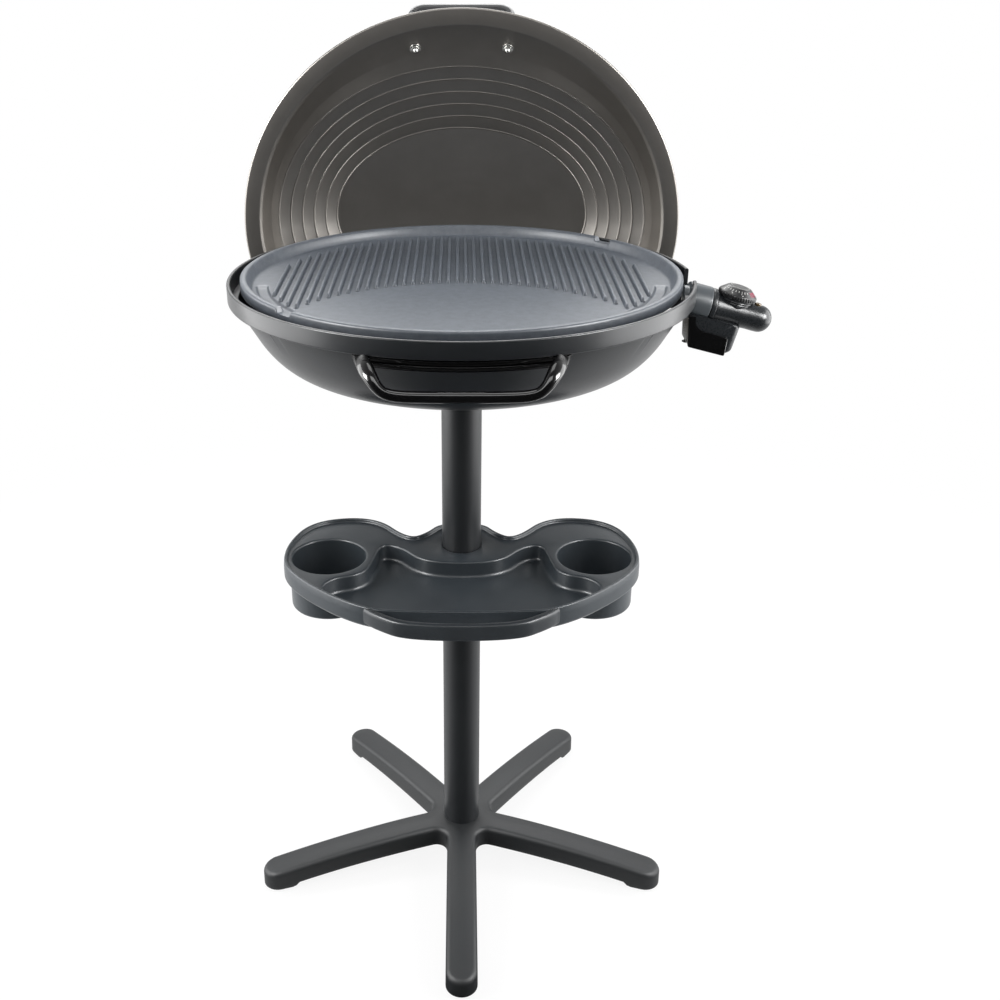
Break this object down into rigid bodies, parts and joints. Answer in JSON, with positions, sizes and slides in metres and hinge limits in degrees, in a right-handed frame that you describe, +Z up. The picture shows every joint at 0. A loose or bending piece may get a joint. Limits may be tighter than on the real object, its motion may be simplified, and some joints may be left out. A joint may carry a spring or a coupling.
{
  "type": "electric indoor grill with lid",
  "caption": "Free-standing electric grill: oval bowl and ribbed plate on a column with star foot and cup shelf, plug-in controller and upright lid.",
  "frame": {"origin": "on the floor, on the axis of the column", "axes": "+Z up along the column, +X towards the controller, +Y from the user towards the lid"},
  "size_m": [0.5993, 0.5852, 1.0138],
  "materials": {
    "foot_plastic": "moulded, fine grain",
    "tube_paint": "satin powder coat",
    "shelf_plastic": "moulded, fine grain",
    "rubber": "matt",
    "plated_steel": "zinc plated",
    "bowl_paint": "satin anthracite paint",
    "reflector_sheet": "bright sheet",
    "black_plastic": "heat resistant, satin",
    "cast_nonstick": "cast, dark non-stick coat",
    "element_steel": "oxidised tube",
    "ceramic": "glazed steatite",
    "lid_enamel": "satin bronze-grey metallic paint",
    "gloss_black": "glossy",
    "controller_plastic": "moulded, fine grain",
    "dial_print": "white ring",
    "lamp_amber": "clear amber",
    "tray_steel": "drawn sheet"
  },
  "bodies": {
    "stand": {"base_star": "foot_plastic", "foot_pads": "rubber", "lower_tube": "tube_paint", "upper_tube": "tube_paint", "tube_coupler": "plated_steel", "tube_plug": "plated_steel", "base_bolt": "plated_steel", "base_washer": "plated_steel", "shelf": "shelf_plastic", "shelf_rail": "shelf_plastic", "shelf_screws": "plated_steel", "rail_screws": "plated_steel"},
    "head": {"bowl_shell": "bowl_paint", "column_socket": "black_plastic", "socket_screws": "plated_steel", "heat_reflector": "reflector_sheet", "plate_supports": "black_plastic", "tray_runners": "plated_steel", "lid_rest": "tube_paint", "lid_rest_screws": "plated_steel"},
    "plate": {"grill_plate": "cast_nonstick", "heating_element": "element_steel", "element_clips": "plated_steel", "terminal_block": "black_plastic", "contact_pins": "plated_steel", "socket_shroud": "black_plastic"},
    "tray": {"drip_tray": "tray_steel", "tray_handle": "gloss_black", "tray_rivets": "plated_steel"},
    "lid": {"lid_shell": "lid_enamel", "lid_handle": "black_plastic", "lid_screws": "plated_steel", "lid_washers": "black_plastic"},
    "controller": {"controller_upper": "controller_plastic", "controller_lower": "controller_plastic", "box_cover": "gloss_black", "plug_collar": "controller_plastic", "probe_rod": "plated_steel", "contact_sleeves": "ceramic", "thermostat_switch": "ceramic", "indicator_lamp": "lamp_amber", "cord_gland": "black_plastic", "housing_screws": "plated_steel"},
    "knob": {"knob": "black_plastic", "knob_dial": "dial_print", "switch_shaft": "plated_steel"}
  },
  "joints": [
    {"name": "head_lift", "type": "slide", "parent": "stand", "child": "head", "axis": [0, 0, 1], "range_m": [0, 0.06]},
    {"name": "plate_lift", "type": "slide", "parent": "head", "child": "plate", "axis": [0, 0, 1], "range_m": [0, 0.08]},
    {"name": "tray_slide", "type": "slide", "parent": "head", "child": "tray", "axis": [0, -1, 0], "range_m": [0, 0.11]},
    {"name": "lid_lift", "type": "slide", "parent": "head", "child": "lid", "axis": [0, 0, 1], "range_m": [0, 0.2]},
    {"name": "controller_plug", "type": "slide", "parent": "plate", "child": "controller", "axis": [0.9659, 0, -0.2588], "range_m": [0, 0.06]},
    {"name": "knob_turn", "type": "hinge", "parent": "controller", "child": "knob", "pos_m": [0.28808, 0, 0.72401], "axis": [0.2588, 0, 0.9659], "range_deg": [0, 270]}
  ]
}
